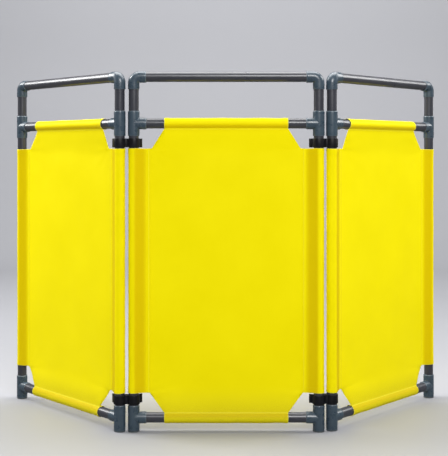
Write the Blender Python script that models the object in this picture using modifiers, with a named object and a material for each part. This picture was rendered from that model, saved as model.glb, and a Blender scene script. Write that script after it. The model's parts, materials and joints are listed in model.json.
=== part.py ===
"""A free-standing folding barrier: three pipe-framed cloth panels joined by double pipe clips.

Units are metres, +Z is up and the floor is Z = 0. A panel is built about the middle of its foot line,
with X along its width and -Y its front. Positions on one half of a panel are mirrored on the other.
"""

import math

import bmesh
import bpy
from mathutils import Matrix, Vector

SIDES = 16
CLEARANCE = 0.0003
POLYGON_GROWTH = 1 / math.cos(math.pi / SIDES)

# 1-inch nominal pressure pipe and its solvent-socket fittings.
PIPE_RADIUS = 0.01675
PIPE_WALL = 0.0026
FITTING_RADIUS = 0.0195
SOCKET_RADIUS = (PIPE_RADIUS + CLEARANCE) * POLYGON_GROWTH
SOCKET_DEPTH = 0.022
FLOW_RADIUS = 0.014
TEE_RUN_REACH = 0.042
TEE_BRANCH_REACH = 0.043
ELBOW_REACH = 0.042
ELBOW_BEND_RADIUS = 0.020
BEND_STEPS = 3
CUTTER_EXCESS = 0.010

# One panel: pipe axes.
UPRIGHT_X = 0.310
LOWER_Z = 0.046
UPPER_Z = 1.031
TOP_Z = 1.187

# Foot plug.
PLUG_FLANGE = 0.0037
PLUG_CHAMFER = 0.001
PLUG_SPIGOT_RADIUS = 0.0166
PLUG_TOP = 0.025

# Cloth sheet and its sleeves.
CLOTH_THICKNESS = 0.002
SLEEVE_INNER_RADIUS = 0.0174
SLEEVE_OUTER_RADIUS = 0.0188
SLEEVE_OUTER_TIP_HALF = 0.0014
SLEEVE_INNER_TIP_HALF = 0.0003
SLEEVE_TIP_WALL = 0.004
UPRIGHT_STITCH = 0.044
CROSSBAR_STITCH = 0.026
STITCH_OVERLAP = 0.002
SLEEVE_EXCESS = 0.0015
SIDE_SLEEVE_TOP = 0.947
SIDE_SLEEVE_BOTTOM = 0.129
TOP_SLEEVE_HALF = 0.207
BOTTOM_SLEEVE_HALF = 0.208
UPPER_CUT_X = 0.250
LOWER_CUT_X = 0.255

# Double clip: two snap-on rings side by side, both mouths to the back.
CLIP_SPACING = 0.047
CLIP_HEIGHT = 0.030
CLIP_OUTER_RADIUS = 0.021
CLIP_INNER_RADIUS = SOCKET_RADIUS
CLIP_WAIST_FRONT = 0.009
CLIP_WAIST_BACK = 0.012
CLIP_MOUTH_HALF_ANGLE = math.radians(42)
CLIP_LIP_ROOT_ANGLE = math.radians(36)
CLIP_LIP_FRONT = (0.0272, 0.0186)
CLIP_LIP_BACK = (0.0258, 0.0220)
CLIP_ARC_STEPS = 11
UPPER_CLIP_Z = 0.966
LOWER_CLIP_Z = 0.107

# How the screen stands: the wings fold towards the back.
WING_ANGLE = math.radians(47.5)
LEFT_CLIP_ANGLE = 0.0
RIGHT_CLIP_ANGLE = math.radians(16.0)

PANELS = ("left", "middle", "right")
SIDE_SIGNS = {"left": -1, "right": 1}


def clear_scene():
    for obj in list(bpy.data.objects):
        bpy.data.objects.remove(obj)


def new_collection(name):
    collection = bpy.data.collections.new(name)
    bpy.context.scene.collection.children.link(collection)
    return collection


def new_material(name, colour, roughness):
    material = bpy.data.materials.new(name)
    material.use_nodes = True
    shader = material.node_tree.nodes["Principled BSDF"]
    shader.inputs["Base Color"].default_value = (*colour, 1.0)
    shader.inputs["Roughness"].default_value = roughness
    shader.inputs["Metallic"].default_value = 0.0
    return material


# Shape helpers. Each returns a mesh that is closed and faces out.


def welded(mesh):
    bm = bmesh.new()
    bm.from_mesh(mesh)
    bmesh.ops.remove_doubles(bm, verts=bm.verts, dist=1e-6)
    bmesh.ops.recalc_face_normals(bm, faces=bm.faces)
    bm.to_mesh(mesh)
    bm.free()
    return mesh


def baked(data, name, modify=None):
    """The evaluated mesh of an object that holds data, after modify has added its modifiers."""
    obj = bpy.data.objects.new(name, data)
    workshop.objects.link(obj)
    if modify:
        modify(obj)
    bpy.context.view_layer.update()
    evaluated = obj.evaluated_get(bpy.context.evaluated_depsgraph_get())
    mesh = bpy.data.meshes.new_from_object(evaluated)
    mesh.name = name
    bpy.data.objects.remove(obj)
    return welded(mesh)


def turned(name, profile, closed=False):
    """profile is (radius, height) points that run down the outer side."""
    mesh = bpy.data.meshes.new(name)
    points = [(radius, 0, height) for radius, height in profile]
    edges = [(i, i + 1) for i in range(len(points) - 1)]
    if closed:
        edges.append((len(points) - 1, 0))
    mesh.from_pydata(points, edges, [])

    def screw(obj):
        modifier = obj.modifiers.new("turn", "SCREW")
        modifier.steps = SIDES
        modifier.render_steps = SIDES
        modifier.use_merge_vertices = True
        modifier.merge_threshold = 1e-5

    return baked(mesh, name, screw)


def curve_data(name, points, closed):
    curve = bpy.data.curves.new(name, "CURVE")
    spline = curve.splines.new("POLY")
    spline.points.add(len(points) - 1)
    for point, place in zip(spline.points, points):
        point.co = (*place, 1.0)
    spline.use_cyclic_u = closed
    return curve


def prism(name, outline, thickness):
    """A flat outline in X and Y, with its thickness centred on Z = 0."""
    curve = curve_data(name, [(x, y, 0) for x, y in outline], closed=True)
    curve.dimensions = "2D"
    curve.fill_mode = "BOTH"
    curve.extrude = thickness / 2
    return baked(curve, name)


def swept(name, points, radius):
    curve = curve_data(name, points, closed=False)
    curve.dimensions = "3D"
    curve.bevel_depth = radius
    curve.bevel_resolution = SIDES // 2 - 2
    curve.use_fill_caps = True
    return baked(curve, name)


def moved(mesh, matrix):
    copy = mesh.copy()
    copy.transform(matrix)
    return copy


def combined(name, base, steps):
    """base after each (operation, mesh) of steps, as an exact Boolean."""
    cutters = []

    def add_booleans(obj):
        for operation, mesh in steps:
            cutter = bpy.data.objects.new(name + "_cutter", mesh)
            cutter.hide_render = True
            cutter.display_type = "WIRE"
            workshop.objects.link(cutter)
            cutters.append(cutter)
            modifier = obj.modifiers.new(operation.lower(), "BOOLEAN")
            modifier.operation = operation
            modifier.solver = "EXACT"
            modifier.object = cutter

    mesh = baked(base, name, add_booleans)
    for cutter in cutters:
        bpy.data.objects.remove(cutter)
    return mesh


# The pieces, each about its own joint or centre.


def pipe_mesh(length):
    half = length / 2
    inner = PIPE_RADIUS - PIPE_WALL
    profile = [(PIPE_RADIUS, half), (PIPE_RADIUS, -half), (inner, -half), (inner, half)]
    return turned("pipe", profile, closed=True)


def socket_cutter(reach):
    """The hollow of one arm of a fitting, from its centre up to past its mouth."""
    mouth = reach + CUTTER_EXCESS
    shoulder = reach - SOCKET_DEPTH
    profile = [
        (0, mouth),
        (SOCKET_RADIUS, mouth),
        (SOCKET_RADIUS, shoulder),
        (FLOW_RADIUS, shoulder),
        (FLOW_RADIUS, 0),
        (0, 0),
    ]
    return turned("socket", profile)


def tee_mesh():
    """Run along Z, branch along +X."""
    run_profile = [(0, 1), (1, 1), (1, -1), (0, -1)]
    run = turned("run", [(r * FITTING_RADIUS, z * TEE_RUN_REACH) for r, z in run_profile])
    branch_profile = [(0, 1), (1, 1), (1, 0), (0, 0)]
    branch = turned("branch", [(r * FITTING_RADIUS, z * TEE_BRANCH_REACH) for r, z in branch_profile])
    towards_x = Matrix.Rotation(math.radians(90), 4, "Y")
    run_socket = turned(
        "run_hollow",
        [
            (0, TEE_RUN_REACH + CUTTER_EXCESS),
            (SOCKET_RADIUS, TEE_RUN_REACH + CUTTER_EXCESS),
            (SOCKET_RADIUS, TEE_RUN_REACH - SOCKET_DEPTH),
            (FLOW_RADIUS, TEE_RUN_REACH - SOCKET_DEPTH),
            (FLOW_RADIUS, SOCKET_DEPTH - TEE_RUN_REACH),
            (SOCKET_RADIUS, SOCKET_DEPTH - TEE_RUN_REACH),
            (SOCKET_RADIUS, -TEE_RUN_REACH - CUTTER_EXCESS),
            (0, -TEE_RUN_REACH - CUTTER_EXCESS),
        ],
    )
    return combined(
        "tee",
        run,
        [
            ("UNION", moved(branch, towards_x)),
            ("DIFFERENCE", run_socket),
            ("DIFFERENCE", moved(socket_cutter(TEE_BRANCH_REACH), towards_x)),
        ],
    )


def elbow_path(reach):
    """From the bottom of the vertical arm round the bend to the end of the +X arm."""
    points = [(0, 0, -reach)]
    for step in range(BEND_STEPS + 1):
        angle = math.radians(90) * step / BEND_STEPS
        x = ELBOW_BEND_RADIUS * (1 - math.cos(angle))
        z = ELBOW_BEND_RADIUS * (math.sin(angle) - 1)
        points.append((x, 0, z))
    points.append((reach, 0, 0))
    return points


def elbow_mesh():
    """One arm down -Z, the other along +X, with a round outer corner."""
    shell = swept("elbow", elbow_path(ELBOW_REACH), FITTING_RADIUS)
    flow = swept("elbow_flow", elbow_path(ELBOW_REACH - SOCKET_DEPTH / 2), FLOW_RADIUS)
    length = SOCKET_DEPTH + CUTTER_EXCESS
    socket = turned(
        "elbow_socket",
        [(0, length), (SOCKET_RADIUS, length), (SOCKET_RADIUS, 0), (0, 0)],
    )
    shoulder = ELBOW_REACH - SOCKET_DEPTH
    down = Matrix.Translation((0, 0, -shoulder)) @ Matrix.Rotation(math.radians(180), 4, "X")
    across = Matrix.Translation((shoulder, 0, 0)) @ Matrix.Rotation(math.radians(90), 4, "Y")
    return combined(
        "elbow",
        shell,
        [
            ("DIFFERENCE", flow),
            ("DIFFERENCE", moved(socket, down)),
            ("DIFFERENCE", moved(socket, across)),
        ],
    )


def foot_plug_mesh():
    profile = [
        (0, PLUG_TOP),
        (PLUG_SPIGOT_RADIUS, PLUG_TOP),
        (PLUG_SPIGOT_RADIUS, PLUG_FLANGE),
        (FITTING_RADIUS, PLUG_FLANGE),
        (FITTING_RADIUS, PLUG_CHAMFER),
        (FITTING_RADIUS - PLUG_CHAMFER, 0),
        (0, 0),
    ]
    return turned("foot_plug", profile)


def arc(centre_x, radius, start, end, steps):
    points = []
    for step in range(steps + 1):
        angle = start + (end - start) * step / steps
        points.append((centre_x + radius * math.cos(angle), radius * math.sin(angle)))
    return points


def sleeve_outline(radius, tip, half_tip):
    """A ring round the pipe that runs out along +X to a stitched tip."""
    distance = math.hypot(tip, half_tip)
    tangent = math.atan2(half_tip, tip) + math.acos(radius / distance)
    steps = round(SIDES * (1 - tangent / math.pi))
    around = arc(0, radius, tangent, 2 * math.pi - tangent, steps)
    return [(tip, half_tip), *around, (tip, -half_tip)]


def sleeve_pair(length, stitch):
    """The outer form of one sleeve and the hollow that is cut from it, along Z."""
    outer = sleeve_outline(SLEEVE_OUTER_RADIUS, stitch, SLEEVE_OUTER_TIP_HALF)
    inner = sleeve_outline(SLEEVE_INNER_RADIUS, stitch - SLEEVE_TIP_WALL, SLEEVE_INNER_TIP_HALF)
    hollow_length = length + 2 * CUTTER_EXCESS
    return prism("sleeve", outer, length), prism("sleeve_hollow", inner, hollow_length)


def sheet_outline():
    side_x = UPRIGHT_X - UPRIGHT_STITCH + STITCH_OVERLAP
    top = UPPER_Z - CROSSBAR_STITCH + STITCH_OVERLAP
    bottom = LOWER_Z + CROSSBAR_STITCH - STITCH_OVERLAP
    right = [
        (TOP_SLEEVE_HALF - SLEEVE_EXCESS, top),
        (UPPER_CUT_X, SIDE_SLEEVE_TOP),
        (side_x, SIDE_SLEEVE_TOP - SLEEVE_EXCESS),
        (side_x, SIDE_SLEEVE_BOTTOM + SLEEVE_EXCESS),
        (LOWER_CUT_X, SIDE_SLEEVE_BOTTOM),
        (BOTTOM_SLEEVE_HALF - SLEEVE_EXCESS, bottom),
    ]
    return right + [(-x, z) for x, z in reversed(right)]


def sheet_mesh():
    """The flat cloth with a sleeve round each of the four pipes, about the panel's foot centre."""
    upright = Matrix.Rotation(math.radians(90), 4, "X")
    flat = moved(prism("cloth", sheet_outline(), CLOTH_THICKNESS), upright)
    side_length = SIDE_SLEEVE_TOP - SIDE_SLEEVE_BOTTOM
    side_middle = (SIDE_SLEEVE_TOP + SIDE_SLEEVE_BOTTOM) / 2
    half_turn = Matrix.Rotation(math.pi, 4, "Z")
    quarter_turn = Matrix.Rotation(math.pi / 2, 4, "Y")
    places = [
        (side_length, UPRIGHT_STITCH, Matrix.Translation((-UPRIGHT_X, 0, side_middle))),
        (side_length, UPRIGHT_STITCH, Matrix.Translation((UPRIGHT_X, 0, side_middle)) @ half_turn),
        (2 * TOP_SLEEVE_HALF, CROSSBAR_STITCH, Matrix.Translation((0, 0, UPPER_Z)) @ quarter_turn),
        (
            2 * BOTTOM_SLEEVE_HALF,
            CROSSBAR_STITCH,
            Matrix.Translation((0, 0, LOWER_Z)) @ quarter_turn.inverted(),
        ),
    ]
    unions = []
    cuts = []
    for length, stitch, matrix in places:
        outer, hollow = sleeve_pair(length, stitch)
        unions.append(("UNION", moved(outer, matrix)))
        cuts.append(("DIFFERENCE", moved(hollow, matrix)))
    return combined("sheet", flat, unions + cuts)


def clip_outline():
    """Half of the double clip at +X, from the front of the waist round the ring to its back."""
    axis_x = CLIP_SPACING / 2
    quarter = math.radians(90)
    waist_angle = math.asin(CLIP_WAIST_FRONT / CLIP_OUTER_RADIUS)
    mouth_outer = quarter - CLIP_MOUTH_HALF_ANGLE
    mouth_inner = quarter + CLIP_MOUTH_HALF_ANGLE
    outer = arc(axis_x, CLIP_OUTER_RADIUS, waist_angle - math.pi, CLIP_LIP_ROOT_ANGLE, CLIP_ARC_STEPS)
    lip = [(axis_x + x, y) for x, y in (CLIP_LIP_FRONT, CLIP_LIP_BACK)]
    inner_start = mouth_outer
    inner_end = mouth_inner - 2 * math.pi
    inner = arc(axis_x, CLIP_INNER_RADIUS, inner_start, inner_end, CLIP_ARC_STEPS + 2)
    shoulder = arc(axis_x, CLIP_OUTER_RADIUS, mouth_inner, mouth_inner, 1)[:1]
    right = [(0, -CLIP_WAIST_FRONT), *outer, *lip, *inner, *shoulder, (0, CLIP_WAIST_BACK)]
    left = [(-x, y) for x, y in reversed(right) if x > 0]
    return right + left


def clip_mesh():
    """The two pipe axes are at X = +-CLIP_SPACING / 2."""
    return prism("clip", clip_outline(), CLIP_HEIGHT)


# Putting the pieces together.


def new_empty(name, parent, location, turn):
    empty = bpy.data.objects.new(name, None)
    screen.objects.link(empty)
    empty.parent = parent
    empty.location = location
    empty.rotation_euler = (0, 0, turn)
    return empty


def place(name, mesh, material, parent, location, rotation=(0, 0, 0)):
    """A named piece with its own copy of mesh and smooth round faces."""
    data = mesh.copy()
    data.name = name
    data.materials.clear()
    data.materials.append(material)
    data.shade_smooth()
    data.set_sharp_from_angle(angle=math.radians(35))
    obj = bpy.data.objects.new(name, data)
    obj.parent = parent
    obj.location = location
    obj.rotation_euler = rotation
    screen.objects.link(obj)
    return obj


def shared_meshes():
    """One mesh for each kind of piece."""
    upright_bottom = LOWER_Z + TEE_RUN_REACH - SOCKET_DEPTH + CLEARANCE
    upright_top = UPPER_Z - TEE_RUN_REACH + SOCKET_DEPTH - CLEARANCE
    stub_bottom = UPPER_Z + TEE_RUN_REACH - SOCKET_DEPTH + CLEARANCE
    stub_top = TOP_Z - ELBOW_REACH + SOCKET_DEPTH - CLEARANCE
    crossbar_end = UPRIGHT_X - TEE_BRANCH_REACH + SOCKET_DEPTH - CLEARANCE
    rail_end = UPRIGHT_X - ELBOW_REACH + SOCKET_DEPTH - CLEARANCE
    heights = {
        "upright": (upright_bottom + upright_top) / 2,
        "stub": (stub_bottom + stub_top) / 2,
    }
    meshes = {
        "upright": pipe_mesh(upright_top - upright_bottom),
        "stub": pipe_mesh(stub_top - stub_bottom),
        "crossbar": pipe_mesh(2 * crossbar_end),
        "top_rail": pipe_mesh(2 * rail_end),
        "tee": tee_mesh(),
        "elbow": elbow_mesh(),
        "foot_plug": foot_plug_mesh(),
        "sheet": sheet_mesh(),
        "clip": clip_mesh(),
    }
    return meshes, heights


def build_panel(panel, parent, centre_x):
    """One framed sheet, its middle at centre_x along the parent's X."""
    along_x = (0, math.radians(90), 0)
    prefix = panel + "_panel_"
    for name, kind, height in (
        ("lower_crossbar", "crossbar", LOWER_Z),
        ("upper_crossbar", "crossbar", UPPER_Z),
        ("top_rail", "top_rail", TOP_Z),
    ):
        place(prefix + name, meshes[kind], pipe_plastic, parent, (centre_x, 0, height), along_x)
    place(prefix + "sheet", meshes["sheet"], cloth, parent, (centre_x, 0, 0))
    for side, sign in SIDE_SIGNS.items():
        x = centre_x + sign * UPRIGHT_X
        inward = (0, 0, 0) if sign < 0 else (0, 0, math.pi)
        named = prefix + side + "_"
        place(named + "foot_plug", meshes["foot_plug"], foot_plastic, parent, (x, 0, 0))
        place(named + "lower_tee", meshes["tee"], fitting_plastic, parent, (x, 0, LOWER_Z), inward)
        place(named + "upright", meshes["upright"], pipe_plastic, parent, (x, 0, heights["upright"]))
        place(named + "upper_tee", meshes["tee"], fitting_plastic, parent, (x, 0, UPPER_Z), inward)
        place(named + "stub", meshes["stub"], pipe_plastic, parent, (x, 0, heights["stub"]))
        place(named + "elbow", meshes["elbow"], fitting_plastic, parent, (x, 0, TOP_Z), inward)


def build_wing(panel, root, clip_angle):
    """A side panel on its pair of clips. The clips turn on the middle panel's upright."""
    sign = SIDE_SIGNS[panel]
    clip_axis = new_empty(panel + "_clip_axis", root, (sign * UPRIGHT_X, 0, 0), sign * clip_angle)
    for level, height in (("upper", UPPER_CLIP_Z), ("lower", LOWER_CLIP_Z)):
        location = (sign * CLIP_SPACING / 2, 0, height)
        place(f"{panel}_{level}_clip", meshes["clip"], clip_plastic, clip_axis, location)
    fold = sign * (WING_ANGLE - clip_angle)
    wing_axis = new_empty(panel + "_wing_axis", clip_axis, (sign * CLIP_SPACING, 0, 0), fold)
    build_panel(panel, wing_axis, sign * UPRIGHT_X)


def wing_tip(clip_angle):
    """How far the outer upright's axis is from the middle panel's upright, along X and Y."""
    span = 2 * UPRIGHT_X
    x = CLIP_SPACING * math.cos(clip_angle) + span * math.cos(WING_ANGLE)
    y = CLIP_SPACING * math.sin(clip_angle) + span * math.sin(WING_ANGLE)
    return Vector((x, y, 0))


def floor_centre():
    """The middle of the screen's floor rectangle, seen from the middle panel's foot centre."""
    left_tip = wing_tip(LEFT_CLIP_ANGLE)
    right_tip = wing_tip(RIGHT_CLIP_ANGLE)
    back = max(left_tip.y, right_tip.y) + FITTING_RADIUS
    front = -CLIP_OUTER_RADIUS
    return Vector(((right_tip.x - left_tip.x) / 2, (back + front) / 2, 0))


clear_scene()
screen = new_collection("folding_barrier_screen")
workshop = new_collection("workshop")
pipe_plastic = new_material("pipe_plastic", (0.085, 0.085, 0.105), 0.42)
fitting_plastic = new_material("fitting_plastic", (0.065, 0.090, 0.110), 0.38)
foot_plastic = new_material("foot_plastic", (0.060, 0.080, 0.095), 0.5)
clip_plastic = new_material("clip_plastic", (0.012, 0.012, 0.016), 0.5)
cloth = new_material("coated_cloth", (0.880, 0.780, 0.0), 0.4)
meshes, heights = shared_meshes()
root = new_empty("screen_root", None, -floor_centre(), 0)
build_panel("middle", root, 0)
build_wing("left", root, LEFT_CLIP_ANGLE)
build_wing("right", root, RIGHT_CLIP_ANGLE)
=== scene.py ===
"""Looks of the folding pipe-frame barrier: fine pipes, fittings, clips and sewn cloth.

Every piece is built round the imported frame, in metres, with its own node materials and a small studio.
"""

import json
import math

import bmesh
import bpy
from mathutils import Matrix, Vector, noise


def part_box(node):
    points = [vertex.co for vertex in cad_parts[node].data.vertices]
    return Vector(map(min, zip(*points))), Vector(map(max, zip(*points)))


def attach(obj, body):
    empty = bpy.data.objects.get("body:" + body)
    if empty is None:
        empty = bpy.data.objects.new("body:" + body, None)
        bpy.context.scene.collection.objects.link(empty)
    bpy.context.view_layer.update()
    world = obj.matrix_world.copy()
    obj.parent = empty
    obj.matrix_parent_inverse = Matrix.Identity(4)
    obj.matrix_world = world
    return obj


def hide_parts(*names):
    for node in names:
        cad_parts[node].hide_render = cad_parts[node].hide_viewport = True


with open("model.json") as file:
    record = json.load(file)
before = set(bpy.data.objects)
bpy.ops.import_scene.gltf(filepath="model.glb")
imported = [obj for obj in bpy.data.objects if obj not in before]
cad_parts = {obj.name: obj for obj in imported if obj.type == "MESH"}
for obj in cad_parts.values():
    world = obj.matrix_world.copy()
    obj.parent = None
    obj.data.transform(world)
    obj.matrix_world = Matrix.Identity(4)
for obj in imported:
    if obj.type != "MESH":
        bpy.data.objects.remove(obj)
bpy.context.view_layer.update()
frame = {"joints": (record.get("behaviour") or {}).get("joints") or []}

PANEL_BODIES = {"left": "left_wing", "middle": "middle_panel", "right": "right_wing"}
CLIP_BODIES = {"left": "left_clips", "right": "right_clips"}
SIDE_SIGNS = {"left": -1, "right": 1}
QUARTER = math.radians(90)
JOINTS = {joint["name"]: joint for joint in frame["joints"]}

# ---------------------------------------------------------------- sizes from the frame


def box_centre(node):
    low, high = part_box(node)
    return (low + high) / 2


def box_size(node):
    low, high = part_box(node)
    return high - low


PIPE_RADIUS = box_size("middle_panel_left_upright").x / 2
FITTING_RADIUS = box_size("middle_panel_left_foot_plug").x / 2
HALF_WIDTH = (box_centre("middle_panel_right_upright") - box_centre("middle_panel_left_upright")).x / 2
LOWER_Z = box_centre("middle_panel_lower_crossbar").z
UPPER_Z = box_centre("middle_panel_upper_crossbar").z
TOP_Z = box_centre("middle_panel_top_rail").z
TEE_RUN_REACH = box_size("middle_panel_left_upper_tee").z / 2
TEE_BRANCH_REACH = box_size("middle_panel_left_upper_tee").x - FITTING_RADIUS
ELBOW_REACH = box_size("middle_panel_left_elbow").x - FITTING_RADIUS
SHEET_LOW, SHEET_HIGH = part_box("middle_panel_sheet")

PIPE_WALL = 0.0026
SOCKET_DEPTH = 0.0223
BORE_RADIUS = PIPE_RADIUS + 0.0002
BEND_RADIUS = 0.020
ROUND = 48


def panel_matrix(panel):
    """X from the left upright to the right one, Z up, the origin on the floor half way between them."""
    left = box_centre(f"{panel}_panel_left_upright")
    right = box_centre(f"{panel}_panel_right_upright")
    across = (right - left).normalized()
    middle = (left + right) / 2
    matrix = Matrix((across, Vector((-across.y, across.x, 0)), Vector((0, 0, 1)))).transposed().to_4x4()
    matrix.translation = (middle.x, middle.y, 0)
    return matrix


def clip_matrix(side):
    """X from the left pipe to the right one, the origin on the floor half way between them."""
    inner = Vector(JOINTS[f"{side}_clip_swing"]["pos_m"])
    outer = Vector(JOINTS[f"{side}_wing_fold"]["pos_m"])
    across = (outer - inner).normalized() * SIDE_SIGNS[side]
    middle = (inner + outer) / 2
    matrix = Matrix((across, Vector((-across.y, across.x, 0)), Vector((0, 0, 1)))).transposed().to_4x4()
    matrix.translation = (middle.x, middle.y, 0)
    return matrix


# ---------------------------------------------------------------- node materials


class Nodes:
    """Short calls for building one material's node tree."""

    def __init__(self, name):
        self.material = bpy.data.materials.new(name)
        self.material.use_nodes = True
        self.tree = self.material.node_tree
        self.shader = self.tree.nodes["Principled BSDF"]
        self.place = self.tree.nodes.new("ShaderNodeTexCoord").outputs["Object"]

    def link(self, source, target):
        self.tree.links.new(source, target)

    def attribute(self, name):
        node = self.tree.nodes.new("ShaderNodeAttribute")
        node.attribute_name = name
        return node.outputs["Fac"]

    def stretched(self, source, scale):
        node = self.tree.nodes.new("ShaderNodeMapping")
        self.link(source, node.inputs["Vector"])
        node.inputs["Scale"].default_value = scale
        return node.outputs["Vector"]

    def shifted_by_object(self, source):
        """Moves the pattern by a different amount on each object, so that copies aren't alike."""
        info = self.tree.nodes.new("ShaderNodeObjectInfo")
        node = self.tree.nodes.new("ShaderNodeVectorMath")
        node.operation = "MULTIPLY_ADD"
        self.link(info.outputs["Location"], node.inputs[0])
        node.inputs[1].default_value = (7.3, 5.1, 3.7)
        self.link(source, node.inputs[2])
        return node.outputs["Vector"]

    def noise(self, source, scale, detail=3.0, roughness=0.5):
        node = self.tree.nodes.new("ShaderNodeTexNoise")
        self.link(source, node.inputs["Vector"])
        node.inputs["Scale"].default_value = scale
        node.inputs["Detail"].default_value = detail
        node.inputs["Roughness"].default_value = roughness
        return node.outputs["Fac"]

    def wave(self, source, scale, direction):
        node = self.tree.nodes.new("ShaderNodeTexWave")
        node.bands_direction = direction
        self.link(source, node.inputs["Vector"])
        node.inputs["Scale"].default_value = scale
        return node.outputs["Fac"]

    def math(self, operation, first, second=0.0, clamp=False):
        node = self.tree.nodes.new("ShaderNodeMath")
        node.operation = operation
        node.use_clamp = clamp
        for socket, value in zip(node.inputs, (first, second)):
            if isinstance(value, (int, float)):
                socket.default_value = value
            else:
                self.link(value, socket)
        return node.outputs["Value"]

    def spread(self, source, low, high, from_low=0.0, from_high=1.0):
        """source from one range to another, clamped."""
        node = self.tree.nodes.new("ShaderNodeMapRange")
        self.link(source, node.inputs["Value"])
        node.inputs["From Min"].default_value = from_low
        node.inputs["From Max"].default_value = from_high
        node.inputs["To Min"].default_value = low
        node.inputs["To Max"].default_value = high
        return node.outputs["Result"]

    def mix(self, share, first, second):
        node = self.tree.nodes.new("ShaderNodeMix")
        node.data_type = "RGBA"
        self.link(share, node.inputs["Factor"])
        for socket, value in ((node.inputs["A"], first), (node.inputs["B"], second)):
            if isinstance(value, tuple):
                socket.default_value = (*value, 1.0)
            else:
                self.link(value, socket)
        return node.outputs["Result"]

    def axis(self, source, letter):
        node = self.tree.nodes.new("ShaderNodeSeparateXYZ")
        self.link(source, node.inputs["Vector"])
        return node.outputs[letter]

    def bump(self, layers):
        """layers are (height, distance in metres), and each adds to the one before."""
        normal = None
        for height, distance in layers:
            node = self.tree.nodes.new("ShaderNodeBump")
            node.inputs["Distance"].default_value = distance
            self.link(height, node.inputs["Height"])
            if normal is not None:
                self.link(normal, node.inputs["Normal"])
            normal = node.outputs["Normal"]
        self.link(normal, self.shader.inputs["Normal"])

    def finish(self, colour, roughness, specular=0.5, coat=0.0):
        self.link(colour, self.shader.inputs["Base Color"])
        self.link(roughness, self.shader.inputs["Roughness"])
        self.shader.inputs["Specular IOR Level"].default_value = specular
        self.shader.inputs["Coat Weight"].default_value = coat
        return self.material


def pipe_material():
    """Extruded dark grey plastic: streaks along the pipe, faint handling marks."""
    n = Nodes("pipe_extruded_plastic")
    place = n.shifted_by_object(n.place)
    streaks = n.noise(n.stretched(place, (1, 1, 0.02)), 420, 2)
    blotches = n.noise(place, 22, 4)
    scuffs = n.noise(n.stretched(place, (1, 1, 0.35)), 140, 5, 0.7)
    grain = n.noise(place, 2200, 2)
    base = n.mix(n.spread(streaks, 0, 1, 0.3, 0.7), (0.028, 0.029, 0.037), (0.040, 0.041, 0.052))
    base = n.mix(n.spread(blotches, 0, 0.3, 0.45, 0.75), base, (0.054, 0.055, 0.066))
    marks = n.spread(scuffs, 0, 0.3, 0.68, 0.80)
    base = n.mix(marks, base, (0.110, 0.112, 0.122))
    roughness = n.math("ADD", n.spread(blotches, 0.27, 0.34, 0.3, 0.7), n.math("MULTIPLY", marks, 0.25))
    n.bump([(streaks, 0.00003), (grain, 0.000015)])
    return n.finish(base, roughness, specular=0.7)


def fitting_material():
    """Moulded blue-grey plastic: slight orange peel, a parting line, pale rims that are rubbed wear and also
    a painted highlight.
    """
    n = Nodes("fitting_moulded_plastic")
    place = n.shifted_by_object(n.place)
    peel = n.noise(place, 900, 2)
    flow = n.noise(place, 45, 4, 0.6)
    scuffs = n.noise(place, 260, 6, 0.75)
    seam = n.math("ABSOLUTE", n.axis(n.place, "Y"))
    seam = n.spread(seam, 1, 0, 0.00015, 0.0005)
    base = n.mix(n.spread(flow, 0, 1, 0.3, 0.7), (0.032, 0.053, 0.074), (0.045, 0.071, 0.094))
    # the pale rims are rubbed wear and also a painted highlight along the rims
    rim_wear_and_highlight = n.math("MULTIPLY", n.attribute("wear_and_rim_highlight"), n.spread(scuffs, 0.25, 1, 0.35, 0.6))
    marks = n.math("MAXIMUM", rim_wear_and_highlight, n.spread(scuffs, 0, 0.5, 0.68, 0.8), clamp=True)
    base = n.mix(marks, base, (0.14, 0.18, 0.21))
    base = n.mix(n.math("MULTIPLY", seam, 0.35), base, (0.085, 0.12, 0.145))
    roughness = n.math("ADD", n.spread(flow, 0.24, 0.35, 0.3, 0.7), n.math("MULTIPLY", marks, 0.22))
    n.bump([(seam, 0.0001), (peel, 0.00004), (flow, 0.0001)])
    return n.finish(base, roughness, specular=0.7)


def foot_material():
    """Moulded blue-grey plastic with a floor-scuffed rim."""
    n = Nodes("foot_moulded_plastic")
    place = n.shifted_by_object(n.place)
    grit = n.noise(place, 420, 6, 0.7)
    flow = n.noise(place, 60, 3)
    base = n.mix(n.spread(flow, 0, 1, 0.3, 0.7), (0.032, 0.046, 0.058), (0.046, 0.066, 0.081))
    scuffed = n.math("MULTIPLY", n.attribute("wear_and_rim_highlight"), n.spread(grit, 0.2, 1, 0.4, 0.62))
    base = n.mix(scuffed, base, (0.26, 0.26, 0.25))
    n.bump([(grit, 0.0001)])
    return n.finish(base, n.spread(scuffed, 0.42, 0.75), specular=0.5)


def clip_material():
    """Matte black moulding with a fine spark-eroded grain."""
    n = Nodes("clip_black_plastic")
    place = n.shifted_by_object(n.place)
    grain = n.noise(place, 1600, 3, 0.6)
    haze = n.noise(place, 70, 4)
    base = n.mix(n.spread(haze, 0, 1, 0.35, 0.7), (0.0042, 0.0042, 0.0055), (0.0075, 0.0073, 0.0095))
    marks = n.math("MULTIPLY", n.attribute("wear_and_rim_highlight"), n.spread(haze, 0.1, 0.8, 0.4, 0.65))
    base = n.mix(marks, base, (0.024, 0.024, 0.027))
    n.bump([(grain, 0.00006)])
    return n.finish(base, n.spread(haze, 0.36, 0.50, 0.3, 0.7), specular=0.25)


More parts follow.
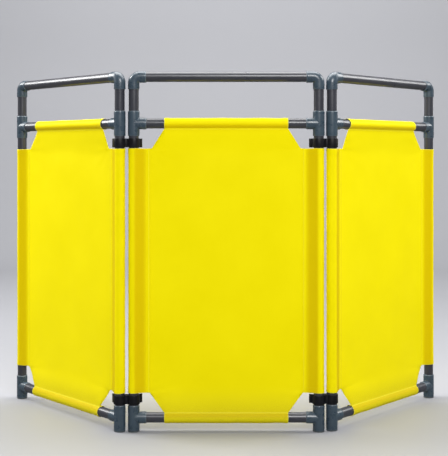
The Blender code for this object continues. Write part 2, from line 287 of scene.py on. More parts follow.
def cloth_material():
    """Plastic-coated woven cloth: the scrim shows through the coating; painted shade makes it darker and
    deeper yellow where it wraps a pipe, and a painted highlight lightens the seam ridge.
    """
    n = Nodes("coated_cloth")
    cut = n.tree.nodes.new("ShaderNodeUVMap")
    cut.uv_map = "cut"
    cut = cut.outputs["UV"]
    warp = n.wave(cut, 150, "X")
    weft = n.wave(cut, 150, "Y")
    weave = n.math("MULTIPLY", warp, weft)
    cloud = n.noise(cut, 5, 3)
    ripple = n.noise(n.stretched(cut, (1, 0.35, 1)), 26, 3)
    coating = n.noise(cut, 700, 3, 0.6)
    base = n.mix(n.spread(cloud, 0, 1, 0.35, 0.65), (0.876, 0.748, 0.0), (0.908, 0.780, 0.001))
    base = n.mix(n.spread(weave, 0, 0.10), base, (0.66, 0.53, 0.0))
    # painted shade: the yellow turns darker and more orange in the folds beside the pipes
    base = n.mix(n.math("MULTIPLY", n.attribute("painted_fold_shade"), 0.85), base, (0.69, 0.50, 0.0))
    soiled = n.math("MULTIPLY", n.attribute("soil"), n.spread(coating, 0.2, 1, 0.4, 0.65))
    base = n.mix(soiled, base, (0.47, 0.40, 0.02))
    # the pale cut edge at the sleeve ends, and a painted highlight along the seam ridge
    base = n.mix(n.math("MULTIPLY", n.attribute("cut_edge_and_seam_highlight"), 0.8), base, (0.95, 0.88, 0.14))
    roughness = n.math("ADD", n.spread(cloud, 0.46, 0.56, 0.3, 0.7), n.math("MULTIPLY", soiled, 0.2))
    n.bump([(ripple, 0.0008), (weave, 0.00005), (coating, 0.00004)])
    return n.finish(base, roughness, specular=0.04)


def cloth_edge_material():
    """The raw cut edge, where the pale base cloth shows between the two coatings."""
    n = Nodes("cloth_raw_edge")
    cut = n.tree.nodes.new("ShaderNodeUVMap")
    cut.uv_map = "cut"
    threads = n.noise(cut.outputs["UV"], 900, 3, 0.7)
    base = n.mix(n.spread(threads, 0, 1, 0.35, 0.65), (0.88, 0.80, 0.12), (0.90, 0.86, 0.42))
    n.bump([(threads, 0.0001)])
    return n.finish(base, n.spread(threads, 0.55, 0.75), specular=0.3)


def thread_material():
    n = Nodes("sewing_thread")
    """Twisted yellow thread."""
    twist = n.wave(n.place, 900, "DIAGONAL")
    base = n.mix(n.spread(twist, 0, 1), (0.62, 0.50, 0.0), (0.84, 0.72, 0.03))
    n.bump([(twist, 0.00008)])
    return n.finish(base, n.spread(twist, 0.5, 0.65), specular=0.3)


def backdrop_material():
    """Matte pale grey paper."""
    n = Nodes("studio_backdrop")
    cloud = n.noise(n.place, 1.2, 3)
    base = n.mix(n.spread(cloud, 0, 1), (0.355, 0.358, 0.380), (0.375, 0.378, 0.400))
    return n.finish(base, n.spread(cloud, 0.5, 0.6), specular=0.25)


# ---------------------------------------------------------------- turned and moulded pieces


def circle(radius, centre=(0, 0, 0), out=(1, 0, 0), side=(0, 1, 0), count=ROUND):
    centre, out, side = Vector(centre), Vector(out), Vector(side)
    points = []
    for step in range(count):
        angle = 2 * math.pi * step / count
        points.append(centre + radius * (math.cos(angle) * out + math.sin(angle) * side))
    return points


def add_rings(bm, rings, joined_ends=False, caps=(True, True)):
    """rings are (points, wear). Each joins the next one with a band of quads."""
    wear_and_rim_highlight_layer = bm.verts.layers.float["wear_and_rim_highlight"]
    rows = []
    for points, wear_and_rim_highlight in rings:
        row = [bm.verts.new(point) for point in points]
        for vert in row:
            vert[wear_and_rim_highlight_layer] = wear_and_rim_highlight
        rows.append(row)
    pairs = list(zip(rows, rows[1:]))
    if joined_ends:
        pairs.append((rows[-1], rows[0]))
    for first, second in pairs:
        for i in range(len(first)):
            bm.faces.new((first[i - 1], first[i], second[i], second[i - 1]))
    if not joined_ends:
        for wanted, row in zip(caps, (rows[0], rows[-1])):
            if wanted:
                bm.faces.new(row)


def new_bmesh():
    bm = bmesh.new()
    # the rims' wear, and on the fittings also a painted highlight along the rims
    bm.verts.layers.float.new("wear_and_rim_highlight")
    return bm


def mesh_from(bm, name, sharp_degrees=38):
    bmesh.ops.remove_doubles(bm, verts=bm.verts, dist=1e-6)
    bmesh.ops.recalc_face_normals(bm, faces=bm.faces)
    mesh = bpy.data.meshes.new(name)
    bm.to_mesh(mesh)
    bm.free()
    mesh.shade_smooth()
    mesh.set_sharp_from_angle(angle=math.radians(sharp_degrees))
    return mesh


def pipe_mesh(length):
    """A hollow pipe along Z with its cut ends lightly chamfered."""
    half = length / 2
    chamfer = 0.0008
    inner = PIPE_RADIUS - PIPE_WALL
    profile = [
        (PIPE_RADIUS, half - chamfer),
        (PIPE_RADIUS - chamfer, half),
        (inner, half),
        (inner, -half),
        (PIPE_RADIUS - chamfer, -half),
        (PIPE_RADIUS, chamfer - half),
    ]
    bm = new_bmesh()
    add_rings(bm, [(circle(r, (0, 0, z), count=64), 0) for r, z in profile], joined_ends=True)
    return mesh_from(bm, "pipe")


def mouth(reach):
    """(distance, radius, wear and painted rim highlight) from the outside of a socket over its rounded rim to
    the socket's bottom.
    """
    return [
        (reach - 0.0045, FITTING_RADIUS, 0),
        (reach - 0.0030, FITTING_RADIUS - 0.00006, 0.05),
        (reach - 0.0019, FITTING_RADIUS - 0.00032, 0.35),
        (reach - 0.0010, FITTING_RADIUS - 0.00085, 0.8),
        (reach - 0.0003, FITTING_RADIUS - 0.0014, 1),
        (reach, FITTING_RADIUS - 0.0019, 0.7),
        (reach, BORE_RADIUS + 0.0005, 0.2),
        (reach - 0.0005, BORE_RADIUS, 0),
        (reach - SOCKET_DEPTH, BORE_RADIUS, 0),
    ]


CREASE_ROWS = (0, 0.0006, 0.0013, 0.0022, 0.0034)
FILLET = 0.0019


def tee_mesh():
    """Run along Z, branch along +X. The three arms meet on the crease where both cylinders cross."""
    bm = new_bmesh()
    for direction in (1, -1):
        rings = []
        for offset in CREASE_ROWS:
            row = []
            for point in circle(FITTING_RADIUS):
                row.append(Vector((point.x, point.y, direction * (max(point.x, 0) + offset))))
            rings.append((row, 0))
        for distance, radius, wear_and_rim_highlight in mouth(TEE_RUN_REACH):
            rings.append((circle(radius, (0, 0, direction * distance)), wear_and_rim_highlight))
        add_rings(bm, rings, caps=(False, True))
    rings = []
    for offset in CREASE_ROWS:
        row = circle(FITTING_RADIUS, out=(0, 0, 1))
        rings.append(([Vector((abs(p.z) + offset, p.y, p.z)) for p in row], 0))
    for distance, radius, wear_and_rim_highlight in mouth(TEE_BRANCH_REACH):
        rings.append((circle(radius, (distance, 0, 0), out=(0, 0, 1)), wear_and_rim_highlight))
    add_rings(bm, rings, caps=(False, True))
    bmesh.ops.remove_doubles(bm, verts=bm.verts, dist=1e-6)
    near = [v for v in bm.verts if v.co.x >= 0 and abs(abs(v.co.z) - v.co.x) < FILLET]
    near = [v for v in near if v.co.length > FITTING_RADIUS * 0.97]
    for _ in range(4):
        bmesh.ops.smooth_vert(bm, verts=near, factor=0.5, use_axis_x=True, use_axis_y=True, use_axis_z=True)
    return mesh_from(bm, "tee", 50)


def elbow_mesh():
    """One arm down -Z and the other along +X, joined by a tight round bend."""
    bend_body = FITTING_RADIUS - 0.0003
    arm = mouth(ELBOW_REACH)
    rings = []
    for distance, radius, wear_and_rim_highlight in reversed(arm):
        rings.append((circle(radius, (0, 0, -distance), out=(-1, 0, 0)), wear_and_rim_highlight))
    steps = 14
    for step in range(steps + 1):
        angle = QUARTER * step / steps
        across, up = math.cos(angle), math.sin(angle)
        centre = (BEND_RADIUS * (1 - across), 0, BEND_RADIUS * (up - 1))
        rings.append((circle(bend_body, centre, out=(-across, 0, up)), 0))
    for distance, radius, wear_and_rim_highlight in arm:
        rings.append((circle(radius, (distance, 0, 0), out=(0, 0, 1)), wear_and_rim_highlight))
    bm = new_bmesh()
    add_rings(bm, rings)
    return mesh_from(bm, "elbow")


def foot_plug_mesh():
    """A flanged plug: the spigot is in the tee's bottom socket and the flange on the floor."""
    low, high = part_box("middle_panel_left_foot_plug")
    top = high.z
    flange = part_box("middle_panel_left_lower_tee")[0].z - 0.0003
    spigot = PIPE_RADIUS - 0.00015
    profile = [
        (spigot - 0.0015, top, 0),
        (spigot, top - 0.0015, 0),
        (spigot, flange, 0),
        (FITTING_RADIUS - 0.0008, flange, 0.1),
        (FITTING_RADIUS - 0.0002, flange - 0.0003, 0.3),
        (FITTING_RADIUS, flange - 0.0008, 0.15),
        (FITTING_RADIUS, 0.0022, 0.4),
        (FITTING_RADIUS - 0.0004, 0.0011, 0.8),
        (FITTING_RADIUS - 0.0010, 0.0004, 1),
        (FITTING_RADIUS - 0.0018, 0, 1),
        (FITTING_RADIUS - 0.0050, 0, 0.8),
        (FITTING_RADIUS - 0.0056, 0.0006, 0.2),
    ]
    bm = new_bmesh()
    add_rings(bm, [(circle(radius, (0, 0, z)), wear_and_rim_highlight) for radius, z, wear_and_rim_highlight in profile])
    return mesh_from(bm, "foot_plug")


CLIP_OUTER = 0.021
CLIP_INNER = PIPE_RADIUS + 0.0004
CLIP_EDGE = 0.0009


def arc(centre_x, radius, start, end, steps):
    points = []
    for step in range(steps + 1):
        angle = math.radians(start + (end - start) * step / steps)
        points.append((centre_x + radius * math.cos(angle), radius * math.sin(angle)))
    return points


def clip_outline(spacing):
    """The double clip seen from above: a closed front, both mouths to the back, flared outer lips."""
    axis_x = spacing / 2
    outer = arc(axis_x, CLIP_OUTER, -154.6, 36, 34)
    lip = [(0.0240, 0.0166), (0.0268, 0.0184), (0.0272, 0.0196), (0.0266, 0.0215), (0.0252, 0.0218)]
    lip = [(axis_x + x, y) for x, y in lip + [(0.0190, 0.0180)]]
    inner = arc(axis_x, CLIP_INNER, 48, -228, 46)
    shoulder = [(axis_x - 0.0134, 0.0150), (axis_x - 0.0150, 0.0147)]
    waist_back = [(0.0052, 0.0125), (0.0, 0.0120)]
    right = [(0.0, -0.0092), (0.0022, -0.0093), *outer[1:], *lip, *inner, *shoulder, *waist_back]
    return right + [(-x, y) for x, y in reversed(right) if x > 0]


def clip_mesh(spacing, height):
    bm = new_bmesh()
    base = bm.faces.new([bm.verts.new((x, y, -height / 2)) for x, y in clip_outline(spacing)])
    made = bmesh.ops.extrude_face_region(bm, geom=[base])["geom"]
    top = [item for item in made if isinstance(item, bmesh.types.BMVert)]
    bmesh.ops.translate(bm, verts=top, vec=(0, 0, height))
    bmesh.ops.recalc_face_normals(bm, faces=bm.faces)
    rims = [edge for edge in bm.edges if abs(edge.verts[0].co.z - edge.verts[1].co.z) < 1e-6]
    bmesh.ops.bevel(bm, geom=rims, offset=CLIP_EDGE, segments=3, profile=0.5, affect="EDGES")
    wear_and_rim_highlight_layer = bm.verts.layers.float["wear_and_rim_highlight"]
    for vert in bm.verts:
        from_rim = height / 2 - abs(vert.co.z)
        vert[wear_and_rim_highlight_layer] = max(0.0, 1 - from_rim / CLIP_EDGE)
    return mesh_from(bm, "clip", 40)


# ---------------------------------------------------------------- the sewn cloth

# Each seam's distance from its pipe's axis, and how far the bar seams lie before it.
SIDE_STITCH = 0.0486
BAR_STITCH = 0.0172
BAR_FORWARD = 0.0080
BAR_PULL_REACH = 0.090

CLOTH = 0.0006
WRAP_RADIUS = PIPE_RADIUS + 0.0009
FLAP = 0.012
FLAP_GAP = 0.0012
SEAM_RIDGE = 0.0011
SEAM_ZONE = 0.0042
RAW_EDGE = 0.0022
SIDE_HEM = 0.021
BAR_HEM = 0.019

# Where the sleeves end. TOP_HALF is half the length of both bar sleeves.
SIDE_TOP = 0.947
SIDE_BOTTOM = 0.129
BAR_SLEEVE_INSET = 0.1218
TOP_HALF = (SHEET_HIGH.x - SHEET_LOW.x) / 2 - BAR_SLEEVE_INSET
CUT_TOP_X = 0.250
WING_TOP_SHIFT = {"left": 0.018, "middle": 0.0, "right": -0.018}

# The angle before the pipe's axis at which the front layer leaves the pipe, and its straight run from there.
SIDE_LEAVING, SIDE_RUN = 62, 0.0308
BAR_LEAVING, BAR_RUN = 48, 0.0040
SLOPE_STEPS = 16
WRAP_STEPS = 60


def smooth_share(value, low, high):
    """0 below low and 1 above high, with a soft step between them."""
    share = min(1.0, max(0.0, (value - low) / (high - low)))
    return share * share * (3 - 2 * share)


def on_wrap(angle):
    """The cloth's middle layer round a pipe; 0 faces the panel and a negative angle the front."""
    return Vector((WRAP_RADIUS * math.cos(angle), WRAP_RADIUS * math.sin(angle)))


class Sleeve:
    """The cloth's way round one pipe: a slope from the seam, the wrap, a slope back, and the sewn flap.

    Its points are (distance from the pipe's axis towards the panel, depth to the back). Its painted shades
    say how much painted shade darkens the cloth in the fold beside the pipe.
    """

    def __init__(self, stitch, forward, leaving, straight):
        self.stitch = stitch
        leaving = math.radians(leaving)
        seam, start = Vector((stitch, -forward)), on_wrap(-leaving)
        bend = start + straight * Vector((math.sin(leaving), math.cos(leaving)))
        # the painted shades darken the cloth in the fold from the seam to the pipe's crest
        self.points, self.painted_shades = [], []
        for step in range(SLOPE_STEPS + 1):
            share = (step / SLOPE_STEPS) ** 2
            self.points.append(seam.lerp(bend, share).lerp(bend.lerp(start, share), share))
            self.painted_shades.append(smooth_share(share, 0.05, 0.6))
        back_seam = seam + Vector((0, FLAP_GAP))
        back = math.atan2(back_seam.y, back_seam.x) + math.acos(WRAP_RADIUS / back_seam.length)
        turn = 2 * math.pi - back - leaving
        crest = QUARTER - leaving
        for step in range(1, WRAP_STEPS + 1):
            share = step / WRAP_STEPS
            self.points.append(on_wrap(-leaving - turn * share))
            past = turn * min(share, 1 - share)
            self.painted_shades.append(1 - smooth_share(past, crest - 0.5, crest + 0.1))
        self.points.append(back_seam)
        self.painted_shades.append(0.3)
        self.runs = [0.0]
        for first, second in zip(self.points, self.points[1:]):
            self.runs.append(self.runs[-1] + (second - first).length)
        self.around = self.runs[-1]
        self.length = self.around + FLAP

    def point(self, run):
        """The point at this length from the seam, and its painted fold shade."""
        if run > self.around:
            return Vector((self.stitch + run - self.around, FLAP_GAP)), 0.1
        after = max(1, next(i for i, mark in enumerate(self.runs) if mark >= run))
        before = after - 1
        share = (run - self.runs[before]) / (self.runs[after] - self.runs[before])
        shade = self.painted_shades[before] + (self.painted_shades[after] - self.painted_shades[before]) * share
        return self.points[before].lerp(self.points[after], share), shade


SIDE_SLEEVE = Sleeve(SIDE_STITCH, 0.0, SIDE_LEAVING, SIDE_RUN)
BAR_SLEEVE = Sleeve(BAR_STITCH, BAR_FORWARD, BAR_LEAVING, BAR_RUN)
SEAM_X = HALF_WIDTH - SIDE_STITCH
CUT_BOTTOM_X = SEAM_X - SEAM_ZONE
SEAM_TOP = UPPER_Z - BAR_STITCH
SEAM_BOTTOM = LOWER_Z + BAR_STITCH


def lines(marks, steps):
    """Grid lines through every mark, with spaces of about the matching step between them."""
    found = [marks[0]]
    for start, end, step in zip(marks, marks[1:], steps):
        count = max(1, round((end - start) / step))
        found += [start + (end - start) * i / count for i in range(1, count + 1)]
    return found


def slack(x, z, seed):
    """How far the loose cloth stands out of its plane. It dies away towards the four seams."""
    to_side = SEAM_X - abs(x)
    to_bar = min(SEAM_TOP - z, z - SEAM_BOTTOM)
    edge = min(to_side, to_bar)
    broad = noise.noise(Vector((x * 3.1, z * 2.3, seed))) * 0.0042
    broad += noise.noise(Vector((x * 9, z * 6, seed + 5))) * 0.0012
    depth = broad * smooth_share(edge, 0.0, 0.16)
    for corner_x in (-CUT_TOP_X, CUT_TOP_X):
        for corner_z in (SIDE_TOP, SIDE_BOTTOM):
            away_x, away_z = x - corner_x, z - corner_z
            reach = math.hypot(away_x, away_z)
            angle = math.atan2(away_z, away_x)
            fold = math.sin(angle * 11 + seed + corner_x * 7 + corner_z * 3)
            depth += 0.0010 * fold * math.exp(-reach / 0.075) * smooth_share(edge, 0.0, 0.03)
    pucker_side = math.sin(z * 2 * math.pi / 0.031 + 3 * noise.noise(Vector((z * 14, seed, 1.5))))
    depth += 0.00045 * pucker_side * math.exp(-max(to_side, 0) / 0.018) * smooth_share(to_side, -0.004, 0.006)
    pucker_bar = math.sin(x * 2 * math.pi / 0.028 + 3 * noise.noise(Vector((x * 14, seed, 4.5))))
    depth += 0.00040 * pucker_bar * math.exp(-max(to_bar, 0) / 0.020) * smooth_share(to_bar, -0.004, 0.006)
    return depth


def bar_pull(x, z):
    """The bar seams lie before the pipes' plane and draw the cloth next to them forward."""
    to_bar = min(SEAM_TOP - z, z - SEAM_BOTTOM)
    near_bar = 1 - smooth_share(to_bar, 0.0, BAR_PULL_REACH)
    return -BAR_FORWARD * near_bar * smooth_share(SEAM_X - abs(x), 0.0, 0.054)


def hem_lift(from_end, hem):
    """The turned-in hem at a sleeve's end is a second layer."""
    return 0.0007 * (1 - smooth_share(from_end, hem - 0.002, hem + 0.001))


def seam_ridge(from_seam):
    """The welted seam stands a little proud of the sheet on its front."""
    return -SEAM_RIDGE * math.exp(-((from_seam / 0.0028) ** 2))


def sleeve_swell(run_along, around, seed):
    """The cloth's uneven looseness round its pipe."""
    return 0.0007 * (0.5 + noise.noise(Vector((run_along * 16, around * 30, seed))))


def sleeve_point(sleeve, run, lift):
    """The sleeve's point lifted off the pipe, most where it is far from the seam, and its painted fold shade.
    """
    place, painted_fold_shade = sleeve.point(run)
    if run < sleeve.around:
        share = smooth_share(min(run, sleeve.around - run), 0.001, 0.010)
        place = place * (1 + share * lift / place.length)
    return place, painted_fold_shade


def sewn_point(s, t, seed):
    """Where the cut's point (s, t) is on the made-up sheet, its painted fold shade, its soil, and its pale
    cut edge and painted seam highlight.
    """
    over_side = abs(s) - SEAM_X
    over_bar = max(t - SEAM_TOP, SEAM_BOTTOM - t)
    soil = 0.8 * (1 - smooth_share(t, SEAM_BOTTOM - 0.03, SEAM_BOTTOM + 0.10))
    if over_side > 0:
        sign = 1 if s > 0 else -1
        from_end = min(SIDE_TOP - t, t - SIDE_BOTTOM)
        lift = sleeve_swell(t, over_side, seed + sign) + hem_lift(from_end, SIDE_HEM)
        (away, depth), painted_fold_shade = sleeve_point(SIDE_SLEEVE, over_side, lift)
        wave = 0.0009 * math.sin(over_side * 46 + seed) * (1 - smooth_share(from_end, 0.0, 0.05))
        x = sign * (HALF_WIDTH - away)
        cut_edge_and_seam_highlight = 1 - smooth_share(from_end, 0.0, RAW_EDGE)
        depth += seam_ridge(over_side)
        return Vector((x, depth + slack(x, t, seed), t + wave)), painted_fold_shade, soil, cut_edge_and_seam_highlight
    if over_bar > 0:
        from_end = TOP_HALF - abs(s)
        lift = sleeve_swell(s, over_bar, seed + 9) + hem_lift(from_end, BAR_HEM)
        (away, depth), painted_fold_shade = sleeve_point(BAR_SLEEVE, over_bar, lift)
        z = UPPER_Z - away if t > SEAM_TOP else LOWER_Z + away
        if over_bar > BAR_SLEEVE.around:
            depth += bar_pull(s, z)
        cut_edge_and_seam_highlight = 1 - smooth_share(from_end, 0.0, RAW_EDGE)
        depth += seam_ridge(over_bar)
        return Vector((s, depth + slack(s, z, seed), z)), painted_fold_shade, soil, cut_edge_and_seam_highlight
    near_seam = min(-over_side, -over_bar)
    # a faint band of painted shade just inside each seam
    painted_fold_shade = 0.15 * smooth_share(near_seam, 0.002, 0.004) * (1 - smooth_share(near_seam, 0.004, 0.012))
    depth = bar_pull(s, t) + slack(s, t, seed) + seam_ridge(near_seam)
    # a painted highlight on the seam ridge
    cut_edge_and_seam_highlight = 0.35 * (1 - smooth_share(near_seam, 0.0, 0.003))
    return Vector((s, depth, t)), painted_fold_shade, soil, cut_edge_and_seam_highlight


def cloth_grid():
    """The flat cut as a grid of quads: a cross of the middle and four flaps, with its corners cut off."""
    side = SEAM_X + SIDE_SLEEVE.length
    bar = BAR_SLEEVE.length
    finest, fine, coarse = 0.0014, 0.0032, 0.0095
    s_marks = [0, TOP_HALF - RAW_EDGE, TOP_HALF, CUT_TOP_X, SEAM_X - SEAM_ZONE, SEAM_X + SEAM_ZONE, side]
    s_half = lines(s_marks, [coarse, fine, coarse, fine, finest, fine])
    s_lines = [-s for s in reversed(s_half[1:])] + s_half
    low_end, high_end = SIDE_BOTTOM + RAW_EDGE, SIDE_TOP - RAW_EDGE
    t_marks = [SEAM_BOTTOM - bar, SEAM_BOTTOM - SEAM_ZONE, SEAM_BOTTOM + SEAM_ZONE, SIDE_BOTTOM, low_end]
    t_marks += [high_end, SIDE_TOP, SEAM_TOP - SEAM_ZONE, SEAM_TOP + SEAM_ZONE, SEAM_TOP + bar]
    t_lines = lines(t_marks, [fine, finest, coarse, fine, coarse, fine, coarse, finest, fine])
    bm = bmesh.new()
    rows = [[bm.verts.new((s, t, 0)) for s in s_lines] for t in t_lines]
    for row, above in zip(rows, rows[1:]):
        for i in range(len(row) - 1):
            middle = (row[i].co + above[i + 1].co) / 2
            within_side = SIDE_BOTTOM < middle.y < SIDE_TOP
            cut_x = CUT_TOP_X if middle.y > SIDE_BOTTOM else CUT_BOTTOM_X
            within_cut = abs(middle.x) < cut_x and SEAM_BOTTOM < middle.y < SEAM_TOP
            if within_side or abs(middle.x) < TOP_HALF or within_cut:
                bm.faces.new((row[i], row[i + 1], above[i + 1], above[i]))
    bmesh.ops.delete(bm, geom=[v for v in bm.verts if not v.link_faces], context="VERTS")
    for sign in (-1, 1):
        for low, high, up in ((SIDE_TOP, SEAM_TOP, 1), (SEAM_BOTTOM, SIDE_BOTTOM, -1)):
            cut_corner(bm, sign, low, high, up)
    return bm


def cut_corner(bm, sign, low, high, up):
    """Takes the cloth off beyond the slanting cut between a side sleeve's end and a bar sleeve's end."""
    cut_x = CUT_TOP_X if up > 0 else CUT_BOTTOM_X
    faces = []
    for face in bm.faces:
        centre = face.calc_center_median()
        if TOP_HALF < sign * centre.x < cut_x and low < centre.y < high:
            faces.append(face)
    at_bar = Vector((sign * TOP_HALF, high if up > 0 else low, 0))
    at_side = Vector((sign * cut_x, low if up > 0 else high, 0))
    along = at_side - at_bar
    outward = Vector((abs(along.y) * sign, abs(along.x) * up, 0)).normalized()
    edges = {edge for face in faces for edge in face.edges}
    verts = {vert for face in faces for vert in face.verts}
    bmesh.ops.bisect_plane(
        bm, geom=list(verts) + list(edges) + faces, dist=1e-6, plane_co=at_bar, plane_no=outward
    )
    beyond = []
    for face in bm.faces:
        centre = face.calc_center_median()
        inside = TOP_HALF < sign * centre.x < cut_x and low < centre.y < high
        if inside and (centre - at_bar).dot(outward) > 0:
            beyond.append(face)
    bmesh.ops.delete(bm, geom=beyond, context="FACES")


def drawn_sideways(panel, t):
    """On the wings the top sleeve sits a little towards the hinge side of its crossbar."""
    return Vector((WING_TOP_SHIFT[panel] * smooth_share(t, SIDE_TOP, SEAM_TOP), 0, 0))


def sew_cloth(panel, seed):
    """The sheet of one panel as a mesh, and the area of its flat cut."""
    bm = cloth_grid()
    area = sum(face.calc_area() for face in bm.faces)
    cut_layer = bm.loops.layers.uv.new("cut")
    for face in bm.faces:
        for loop in face.loops:
            loop[cut_layer].uv = loop.vert.co.xy
    # per vertex: painted fold shade, soil, and the pale cut edge with a painted seam highlight
    painted_fold_shade_layer = bm.verts.layers.float.new("painted_fold_shade")
    soil_layer = bm.verts.layers.float.new("soil")
    cut_edge_and_seam_highlight_layer = bm.verts.layers.float.new("cut_edge_and_seam_highlight")
    for vert in bm.verts:
        sideways = drawn_sideways(panel, vert.co.y)
        place, vert[painted_fold_shade_layer], vert[soil_layer], vert[cut_edge_and_seam_highlight_layer] = sewn_point(vert.co.x, vert.co.y, seed)
        vert.co = place + sideways
    mesh = bpy.data.meshes.new(f"{panel}_cloth")
    bm.to_mesh(mesh)
    bm.free()
    mesh.shade_smooth()
    return mesh, area


STITCH_PITCH = 0.0050
STITCH_LENGTH = 0.0036
THREAD = 0.00035
SEAM_INSET = 0.003


def stitch_lines():
    """(start, end, side) of each seam and hem on the flat cut; side is -1 on the front and 1 on the back."""
    inset = SEAM_INSET
    seams = []
    for side in (-1, 1):
        for sign in (-1, 1):
            x = sign * (SEAM_X - inset)
            seams.append(((x, SIDE_BOTTOM + 0.004), (x, SIDE_TOP - 0.004), side))
        for z in (SEAM_TOP - inset, SEAM_BOTTOM + inset):
            seams.append(((0.006 - TOP_HALF, z), (TOP_HALF - 0.006, z), side))
    around = SIDE_SLEEVE.around
    for sign in (-1, 1):
        for t in (SIDE_TOP - SIDE_HEM + 0.003, SIDE_BOTTOM + SIDE_HEM - 0.003):
            seams.append(((sign * (SEAM_X + 0.004), t), (sign * (SEAM_X + around - 0.004), t), -1))
    around = BAR_SLEEVE.around
    for s in (BAR_HEM - 0.003 - TOP_HALF, TOP_HALF - BAR_HEM + 0.003):
        seams.append(((s, SEAM_TOP + 0.004), (s, SEAM_TOP + around - 0.004), -1))
        seams.append(((s, SEAM_BOTTOM - 0.004), (s, SEAM_BOTTOM - around + 0.004), -1))
    for sign in (-1, 1):
        for z_bar, z_side in ((SEAM_TOP, SIDE_TOP), (SEAM_BOTTOM, SIDE_BOTTOM)):
            inward = -0.006 if z_bar == SEAM_TOP else 0.006
            start = (sign * (TOP_HALF - 0.004), z_bar + inward)
            seams.append((start, (sign * (CUT_TOP_X - 0.006), z_side + inward), -1))
    return seams


def stitches_mesh(panel, seed):
    """Every stitch is one short spindle of thread that lies on the cloth."""
    bm = bmesh.new()
    for start, end, side in stitch_lines():
        start, end = Vector(start), Vector(end)
        length = (end - start).length
        along = (end - start) / length
        for index in range(int(length / STITCH_PITCH)):
            place = start + along * (index + 0.5) * STITCH_PITCH
            half = along * STITCH_LENGTH / 2
            first = len(bm.verts)
            add_stitch(bm, place - half, place + half, side, seed)
            bm.verts.ensure_lookup_table()
            for vert in bm.verts[first:]:
                vert.co += drawn_sideways(panel, place.y)
    mesh = bpy.data.meshes.new(f"{panel}_stitches")
    bm.to_mesh(mesh)
    bm.free()
    mesh.shade_smooth()
    return mesh


def add_stitch(bm, start, end, side, seed):
    across = Vector((end.y - start.y, start.x - end.x)).normalized() * 0.001
    middle = (start + end) / 2
    first, last, centre, beside = (
        sewn_point(*place, seed)[0] for place in (start, end, middle, middle + across)
    )
    direction = (last - first).normalized()
    outward = direction.cross(beside - centre).normalized()
    on_plane = abs(middle.x) <= SEAM_X and SEAM_BOTTOM <= middle.y <= SEAM_TOP
    if on_plane:
        if outward.y * side < 0:
            outward = -outward
        stand = CLOTH / 2 + (FLAP_GAP if side > 0 else 0)
    else:
        axis = sleeve_axis(middle)
        if outward.dot(centre - axis) < 0:
            outward = -outward
        stand = CLOTH / 2
    sideways = direction.cross(outward)
    lift = outward * (stand + THREAD * 0.35)
    ring = []
    for step in range(5):
        angle = 2 * math.pi * step / 5
        offset = (math.cos(angle) * sideways + math.sin(angle) * outward) * THREAD
        ring.append(bm.verts.new(centre + lift + offset))
    tips = [bm.verts.new(tip + outward * (stand - THREAD * 0.5)) for tip in (first, last)]
    for i in range(5):
        bm.faces.new((ring[i - 1], ring[i], tips[0]))
        bm.faces.new((ring[i], ring[i - 1], tips[1]))


def sleeve_axis(cut_point):
    """The point of the pipe's axis that the sleeve's cloth at this point of the cut goes round."""
    if abs(cut_point.x) > SEAM_X:
        return Vector((math.copysign(HALF_WIDTH, cut_point.x), 0, cut_point.y))
    return Vector((cut_point.x, 0, UPPER_Z if cut_point.y > SEAM_TOP else LOWER_Z))


# ---------------------------------------------------------------- putting the pieces on the frame


def show(name, mesh, materials, matrix, body, node):
    """A new piece in the place of a CAD node."""
    obj = bpy.data.objects.new(name, mesh)
    bpy.context.scene.collection.objects.link(obj)
    if not mesh.materials:
        for material in materials:
            mesh.materials.append(material)
    obj.matrix_world = matrix
    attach(obj, body)
    if node:
        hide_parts(node)
    return obj


def thicken(obj):
    solid = obj.modifiers.new("thickness", "SOLIDIFY")
    solid.thickness = CLOTH
    solid.offset = 0
    solid.use_even_offset = True
    solid.material_offset_rim = 1


def build_panel(panel, seed):
    body = PANEL_BODIES[panel]
    matrix = panel_matrix(panel)
    prefix = f"{panel}_panel_"
    along_x = Matrix.Rotation(QUARTER, 4, "Y")
    for name, kind, height in (
        ("top_rail", "rail", TOP_Z),
        ("upper_crossbar", "crossbar", UPPER_Z),
        ("lower_crossbar", "crossbar", LOWER_Z),
    ):
        node = prefix + name
        place = matrix @ Matrix.Translation((0, 0, height)) @ along_x
        show("fine_" + node, forms[kind], [plastic_pipe], place, body, node)
    for side, sign in SIDE_SIGNS.items():
        inward = Matrix.Identity(4) if sign < 0 else Matrix.Rotation(math.pi, 4, "Z")
        for name, kind, material, slot_name, height in (
            ("upright", "upright", plastic_pipe, "pipe_plastic", None),
            ("stub", "stub", plastic_pipe, "pipe_plastic", None),
            ("elbow", "elbow", plastic_fitting, "fitting_plastic", TOP_Z),
            ("upper_tee", "tee", plastic_fitting, "fitting_plastic", UPPER_Z),
            ("lower_tee", "tee", plastic_fitting, "fitting_plastic", LOWER_Z),
            ("foot_plug", "foot_plug", plastic_foot, "foot_plastic", 0.0),
        ):
            node = prefix + side + "_" + name
            level = box_centre(node).z if height is None else height
            place = matrix @ Matrix.Translation((sign * HALF_WIDTH, 0, level)) @ inward
            show("fine_" + node, forms[kind], [material], place, body, node)
    mesh, area = sew_cloth(panel, seed)
    node = prefix + "sheet"
    cloth = show(f"{panel}_cloth", mesh, [cloth_face, cloth_edge], matrix, body, node)
    thicken(cloth)
    stitches = show(
        f"{panel}_stitches", stitches_mesh(panel, seed), [thread], matrix, body, None
    )


def build_clips(side):
    matrix = clip_matrix(side)
    for level in ("upper", "lower"):
        node = f"{side}_{level}_clip"
        place = matrix @ Matrix.Translation((0, 0, box_centre(node).z))
        show("fine_" + node, forms["clip"], [plastic_clip], place, CLIP_BODIES[side], node)


# ---------------------------------------------------------------- studio

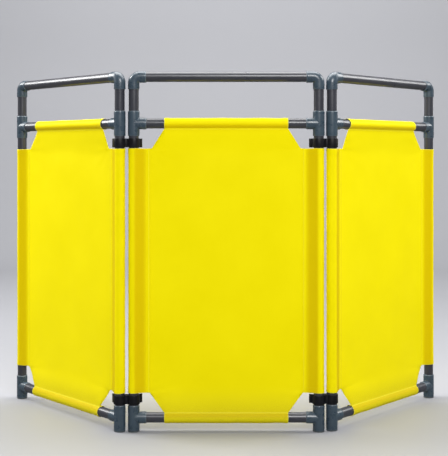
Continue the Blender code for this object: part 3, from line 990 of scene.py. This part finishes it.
CAMERA_OFFSET = Vector((-0.0075, -3.3600, 0.9284))
CAMERA_LENS = 79.15
CAMERA_SHIFT_Y = -0.162
FLOOR_REACH = 4.6
SWEEP = 2.2
WALL_TOP = 5.0
# Name, place, aim, width and height, and watts.
SOFTBOXES = (
    ("front_key", (0.8, -4.1, 3.0), (0, 0, 0.6), (2.2, 1.8), 160),
    ("left_side", (-3.4, 0.8, 2.9), (-0.5, 0, 0.7), (1.6, 2.0), 150),
    ("right_side", (3.4, 0.8, 2.9), (0.5, 0, 0.7), (1.6, 2.0), 86),
    ("top", (0, 0.5, 3.3), (0, 0, 1.0), (3.4, 2.2), 135),
    ("wall_wash", (0, 3.4, 3.6), (0, 6.8, 1.0), (4.0, 0.8), 148),
)


def add_camera():
    data = bpy.data.cameras.new("photo_camera")
    data.lens = CAMERA_LENS
    data.sensor_width = 36
    data.shift_y = CAMERA_SHIFT_Y
    camera = bpy.data.objects.new("photo_camera", data)
    bpy.context.scene.collection.objects.link(camera)
    camera.location = panel_matrix("middle").translation + CAMERA_OFFSET
    camera.rotation_euler = (QUARTER, 0, 0)
    bpy.context.scene.camera = camera


def add_softbox(name, location, target, size, power):
    data = bpy.data.lights.new(name, "AREA")
    data.shape = "RECTANGLE"
    data.size, data.size_y = size
    data.energy = power
    light = bpy.data.objects.new(name, data)
    bpy.context.scene.collection.objects.link(light)
    light.location = location
    light.rotation_euler = (Vector(target) - Vector(location)).to_track_quat("-Z", "Y").to_euler()


def backdrop_mesh():
    """A round floor that curves up into a low wall on every side."""
    profile = [(0.0, 0.0), (1.5, 0.0), (3.0, 0.0)]
    for step in range(19):
        angle = QUARTER * step / 18
        profile.append((FLOOR_REACH + SWEEP * math.sin(angle), SWEEP * (1 - math.cos(angle))))
    profile.append((FLOOR_REACH + SWEEP, WALL_TOP))
    bm = new_bmesh()
    add_rings(bm, [(circle(max(r, 0.01), (0, 0, z), count=96), 0) for r, z in profile], caps=(True, False))
    return mesh_from(bm, "backdrop")


def add_studio():
    scene = bpy.context.scene
    scene.view_settings.view_transform = "Standard"
    world = bpy.data.worlds.new("studio_air")
    world.use_nodes = True
    world.node_tree.nodes["Background"].inputs["Color"].default_value = (0.80, 0.81, 0.83, 1)
    world.node_tree.nodes["Background"].inputs["Strength"].default_value = 0.25
    scene.world = world
    for name, location, target, size, power in SOFTBOXES:
        add_softbox(name, location, target, size, power)
    backdrop = bpy.data.objects.new("backdrop", backdrop_mesh())
    scene.collection.objects.link(backdrop)
    backdrop.data.materials.append(backdrop_material())
    backdrop.visible_glossy = False  # the dark plastic keeps clean, dark sides


plastic_pipe = pipe_material()
plastic_fitting = fitting_material()
plastic_foot = foot_material()
plastic_clip = clip_material()
cloth_face = cloth_material()
cloth_edge = cloth_edge_material()
thread = thread_material()

left_pipe_axis = Vector(JOINTS["left_clip_swing"]["pos_m"])
next_pipe_axis = Vector(JOINTS["left_wing_fold"]["pos_m"])
forms = {
    "rail": pipe_mesh(box_size("middle_panel_top_rail").x),
    "crossbar": pipe_mesh(box_size("middle_panel_upper_crossbar").x),
    "upright": pipe_mesh(box_size("middle_panel_left_upright").z),
    "stub": pipe_mesh(box_size("middle_panel_left_stub").z),
    "tee": tee_mesh(),
    "elbow": elbow_mesh(),
    "foot_plug": foot_plug_mesh(),
    "clip": clip_mesh((left_pipe_axis - next_pipe_axis).length, box_size("left_upper_clip").z),
}
for index, panel in enumerate(PANEL_BODIES):
    build_panel(panel, seed=2.7 + 3.1 * index)
for side in CLIP_BODIES:
    build_clips(side)
add_camera()
add_studio()
